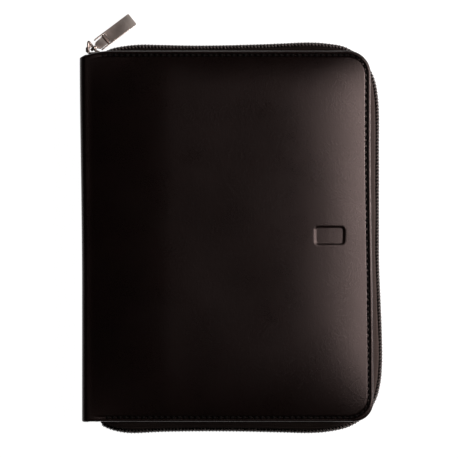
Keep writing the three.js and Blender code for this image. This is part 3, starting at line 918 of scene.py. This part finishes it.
def rounded(x0, x1, y0, y1, r, n=5):
    pts = []
    for cx, cy, a0 in ((x1 - r, y0 + r, -90), (x1 - r, y1 - r, 0), (x0 + r, y1 - r, 90), (x0 + r, y0 + r, 180)):
        for a in np.linspace(a0, a0 + 90, n + 1):
            pts.append((cx + r * math.cos(math.radians(a)), cy + r * math.sin(math.radians(a))))
    return pts


def place(v, matrix, origin):
    return np.asarray(v, float) @ np.asarray(matrix, float).T + np.asarray(origin, float)


CH = np.array([[math.cos(CHAIN), -math.sin(CHAIN), 0], [math.sin(CHAIN), math.cos(CHAIN), 0], [0, 0, 1]])
S0 = np.array([SLIDER[0], SLIDER[1], MID])

# slider: two shaped plates joined by the wedge, with lips that hold the chain
_face = [(-3.3, -4.15), (-1.2, -4.2), (0.8, -4.0), (2.4, -3.5), (3.64, -3.05), (3.82, -2.6), (3.82, 2.6), (3.64, 3.05),
         (2.4, 3.5), (0.8, 4.0), (-1.2, 4.2), (-3.3, 4.15), (-3.8, 3.5), (-3.95, 2.4), (-3.6, 1.1), (-3.3, 0.0),
         (-3.6, -1.1), (-3.95, -2.4), (-3.8, -3.5)]
for _nm, _y0, _y1 in (("slider_outer_plate", 1.86, 2.42), ("slider_inner_plate", -2.35, -1.5)):
    v, f = prism(_face, _y0, _y1, axis=1)
    ob = bevelled(_nm, place(v, CH, S0), f, M_NICKEL, 0.28)
    if _nm == "slider_outer_plate":
        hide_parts("slider_body")
    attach(ob, "zip_slider")
v, f = prism([(-3.4, -0.10), (-3.1, -0.19), (-1.8, -0.17), (0.3, -0.06), (0.3, 0.06), (-1.8, 0.17), (-3.1, 0.19), (-3.4, 0.10)], -1.7, 1.95, axis=1)
ob = bevelled("slider_wedge", place(v, CH, S0), f, M_NICKEL, 0.06, 1)
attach(ob, "zip_slider")
for _s in (-1, 1):
    v, f = prism([(-3.3, _s * 3.45), (0.4, _s * 3.4), (2.0, _s * 3.1), (2.0, _s * 3.7), (0.6, _s * 4.05), (-3.3, _s * 4.15)][::_s], 0.5, 1.98, axis=1)
    ob = bevelled("slider_lip_%s" % ("front" if _s > 0 else "back"), place(v, CH, S0), f, M_NICKEL, 0.12, 2)
    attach(ob, "zip_slider")

# crown: a flat bent strap whose sloping arm carries the pull
_u = np.array([math.sin(PULL_AZ), -math.cos(PULL_AZ)])
_top = np.array([-3.62, 4.3 - (-1.0 + 3.62) / _u[0] * _u[1]])
_low = np.array([0.30, 4.3 + (0.30 + 1.0) / _u[0] * _u[1]])
_pts = [(-3.62, 2.3), (-3.66, 3.4), (-3.68, 5.2), (_top[0] - 0.02, _top[1] - 0.8), (_top[0] + 0.10, _top[1] - 0.22), (_top[0] + 0.45, _top[1] - 0.52)]
for _t in np.linspace(0.18, 0.9, 8):
    _pts.append(tuple(_top + (_low - _top) * _t))
_pts += [(_low[0] + 0.15, _low[1] + 0.02), (_low[0] + 0.75, _low[1] - 0.18), (_low[0] + 1.3, 2.42)]
_c, _ = resample(catmull([(x, y, 0) for x, y in _pts], 8), n=60)
v, f = tube(_c + S0, circle(0.68, 14, 0.68), up=(0, 0, 1))
ob = mesh_obj("crown_strap", v, f, M_NICKEL)
fix_normals(ob)
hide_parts("slider_crown"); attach(ob, "zip_slider")
# small foot pads of the crown on the outer plate
parts = []
for _x in (-3.55, 1.25):
    v, f = prism(rounded(_x - 0.75, _x + 0.75, -1.0, 1.0, 0.5, 4), 2.25, 2.75, axis=1)
    parts.append((v, f))
v, f = join(parts)
ob = bevelled("crown_feet", place(v, CH, S0), f, M_NICKEL, 0.12, 2)
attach(ob, "zip_slider")

# pull: axes along its length, across its width and through its thickness
_ca, _sa, _cd, _sd = math.cos(PULL_AZ), math.sin(PULL_AZ), math.cos(PULL_DROOP), math.sin(PULL_DROOP)
PM = np.array([[_cd * _ca, -_sa, _sd * _ca], [_cd * _sa, _ca, _sd * _sa], [-_sd, 0, _cd]])


def pull_place(v):
    return place(v, PM, EYE)


# web between the crown's post and arm, above the eye
v, f = prism([(-3.5, 3.9), (-2.95, 4.3), (-1.8, 5.2), (-2.2, 5.85), (-3.5, 7.3)], -0.45, 0.45)
ob = bevelled("crown_web", np.asarray(v) + S0, f, M_NICKEL, 0.15, 2)
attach(ob, "zip_slider")
# shoulder of the crown beside its post
v, f = prism([(-4.9, 2.45), (-3.2, 2.45), (-3.2, 4.5), (-3.45, 4.85), (-4.55, 4.85), (-4.9, 4.4)], -1.4, 1.4)
ob = bevelled("crown_shoulder", np.asarray(v) + S0, f, M_NICKEL, 0.3, 3)
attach(ob, "zip_slider")

# link: a solid tapered plate, an eye at one end and a barrel on the tab's pin at the other
v, f = prism([(1.45, -0.78), (2.1, -1.35), (3.3, -2.36), (8.35, -2.36), (8.35, 2.17), (3.2, 1.8), (2.1, 1.25), (1.45, 0.78)], -0.5, 0.5)
ob = bevelled("pull_connector", pull_place(v), f, M_NICKEL, 0.17, 3)
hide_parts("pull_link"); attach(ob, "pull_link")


def band(centre, r, half_t, half_w, name, body, mat=M_NICKEL, n=40):
    """A closed band with rounded edges round an axis along the pull's width."""
    sec = [(-half_t, -half_w * 0.8), (-half_t * 0.6, -half_w), (half_t * 0.6, -half_w), (half_t, -half_w * 0.8),
           (half_t, half_w * 0.8), (half_t * 0.6, half_w), (-half_t * 0.6, half_w), (-half_t, half_w * 0.8)]
    v = []
    for q in np.linspace(0, 2 * math.pi, n, endpoint=False):
        rr = np.array([math.cos(q), 0, math.sin(q)])
        for s1, s2 in sec:
            v.append(np.array([centre, 0, 0]) + rr * (r + s1) + np.array([0, 1, 0]) * s2)
    f = grid_faces(n, 8, 0, closed_cols=True) + [((n - 1) * 8 + j, j, (j + 1) % 8, (n - 1) * 8 + (j + 1) % 8) for j in range(8)]
    ob = mesh_obj(name, pull_place(np.array(v)), f, mat, auto=50)
    fix_normals(ob)
    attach(ob, body)
    return ob


band(0.0, 1.43, 0.36, 0.70, "pull_eye", "pull_link")
band(PIN_AT, 1.03, 0.17, 2.2, "pull_barrel", "pull_link", M_PIN)

# tab: a forked plate with softened edges; its arms run beside the link and carry the pin
_out = []
for _cx, _cy, _a0 in ((PULL_L - 0.55, -TAB_W / 2 + 0.55, -90), (PULL_L - 0.55, TAB_W / 2 - 0.55, 0)):
    for _a in np.linspace(_a0, _a0 + 90, 6):
        _out.append((_cx + 0.55 * math.cos(math.radians(_a)), _cy + 0.55 * math.sin(math.radians(_a))))
_out += [(3.7, 3.3), (3.4, 3.1), (3.4, 2.75), (3.65, 2.55), (10.3, 2.55), (10.6, 2.25), (10.6, -2.25), (10.3, -2.55),
         (3.65, -2.55), (3.4, -2.75), (3.4, -3.1), (3.7, -3.3)]
v, f = prism(_out, -TAB_T / 2, TAB_T / 2)
ob = bevelled("pull_plate", pull_place(v), f, M_NICKEL, 0.2, 3)
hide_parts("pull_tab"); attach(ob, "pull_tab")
v, f = tube(np.array([(PIN_AT, y, 0) for y in np.linspace(-2.9, 2.9, 5)]), circle(0.55, 18), up=(0, 0, 1))
ob = mesh_obj("pull_pin", pull_place(v), f, M_PIN, auto=50)
fix_normals(ob)
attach(ob, "pull_tab")


# --------------------------------------------------------------- pen loop
_out = rounded(55.2, 65.6, 5.1, 15.5, 4.7, 8)
_in = rounded(55.85, 64.95, 5.75, 14.85, 4.1, 8)
v, f = [], []
ys = np.linspace(20, 42, 23)
for k, y in enumerate(ys):
    w = 0.10 * math.sin(k * 1.7) * (0 if k in (0, 22) else 1)
    for (x, z) in _out:
        v.append((x, y, z + w * (z - 5.1) / 10.4))
    for (x, z) in _in[::-1]:
        v.append((x, y, z + w * (z - 5.1) / 10.4))
m = len(_out)
nn = 2 * m
v = np.array(v)
faces = []
for i in range(len(ys) - 1):
    for j in range(m):
        j2 = (j + 1) % m
        faces.append((i * nn + j, i * nn + j2, (i + 1) * nn + j2, (i + 1) * nn + j))
        k1, k2 = m + j, m + (j + 1) % m
        faces.append((i * nn + k1, i * nn + k2, (i + 1) * nn + k2, (i + 1) * nn + k1))
for i in (0, len(ys) - 1):
    for j in range(m):
        j2 = (j + 1) % m
        faces.append((i * nn + j, i * nn + j2, i * nn + m + (m - 1 - j2), i * nn + m + (m - 1 - j)))
ob = mesh_obj("pen_loop_band", v, faces, M_ELASTIC, auto=45)
fix_normals(ob)
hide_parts("pen_loop"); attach(ob, "back_cover")


# --------------------------------------------------------------- lights, floor
def area(name, loc, target, size, size_y, energy, color=(1, 1, 1)):
    data = bpy.data.lights.new(name, "AREA")
    data.shape = "RECTANGLE"
    data.size, data.size_y = size, size_y
    data.energy = energy
    data.color = color
    ob = bpy.data.objects.new(name, data)
    scene.collection.objects.link(ob)
    ob.location = loc
    ob.rotation_euler = (Vector(target) - Vector(loc)).to_track_quat("-Z", "Y").to_euler()
    return ob


key = area("softbox_right", (0.52, 0.12, 0.70), (0.055, 0.03, 0.03), 0.46, 0.60, 1.80, (1.0, 0.865, 0.835))
key.data.spread = math.radians(80)
side = area("softbox_low_right", (0.62, 0.07, 0.13), (0.07, 0.05, 0.02), 0.20, 0.14, 0.62, (1.0, 0.875, 0.85))
side.data.spread = math.radians(70)

floor_me = bpy.data.meshes.new("floor")
floor_me.from_pydata([(-4, -4, -0.0004), (4, -4, -0.0004), (4, 4, -0.0004), (-4, 4, -0.0004)], [], [(0, 1, 2, 3)])
floor = bpy.data.objects.new("floor", floor_me)
scene.collection.objects.link(floor)
fm = bpy.data.materials.new("floor_white")
fm.use_nodes = True
fb = fm.node_tree.nodes["Principled BSDF"]
fb.inputs["Base Color"].default_value = (0.18, 0.18, 0.18, 1)
fb.inputs["Roughness"].default_value = 0.9
fb.inputs["Emission Color"].default_value = (1, 1, 1, 1)
fb.inputs["Emission Strength"].default_value = 1.0
floor_me.materials.append(fm)

world = bpy.data.worlds.new("world")
scene.world = world
world.use_nodes = True
wt = world.node_tree
bg = wt.nodes["Background"]
tc = wt.nodes.new("ShaderNodeTexCoord")
sep = wt.nodes.new("ShaderNodeSeparateXYZ")
wt.links.new(tc.outputs["Generated"], sep.inputs["Vector"])
ramp = wt.nodes.new("ShaderNodeValToRGB")
ramp.color_ramp.elements[0].position = 0.0
ramp.color_ramp.elements[0].color = (0.17, 0.16, 0.155, 1)
ramp.color_ramp.elements[1].position = 0.62
ramp.color_ramp.elements[1].color = (0.002, 0.002, 0.002, 1)
_e = ramp.color_ramp.elements.new(0.28)
_e.color = (0.06, 0.056, 0.054, 1)
wt.links.new(sep.outputs["Z"], ramp.inputs["Fac"])
wt.links.new(ramp.outputs["Color"], bg.inputs["Color"])
bg.inputs["Strength"].default_value = 1.0
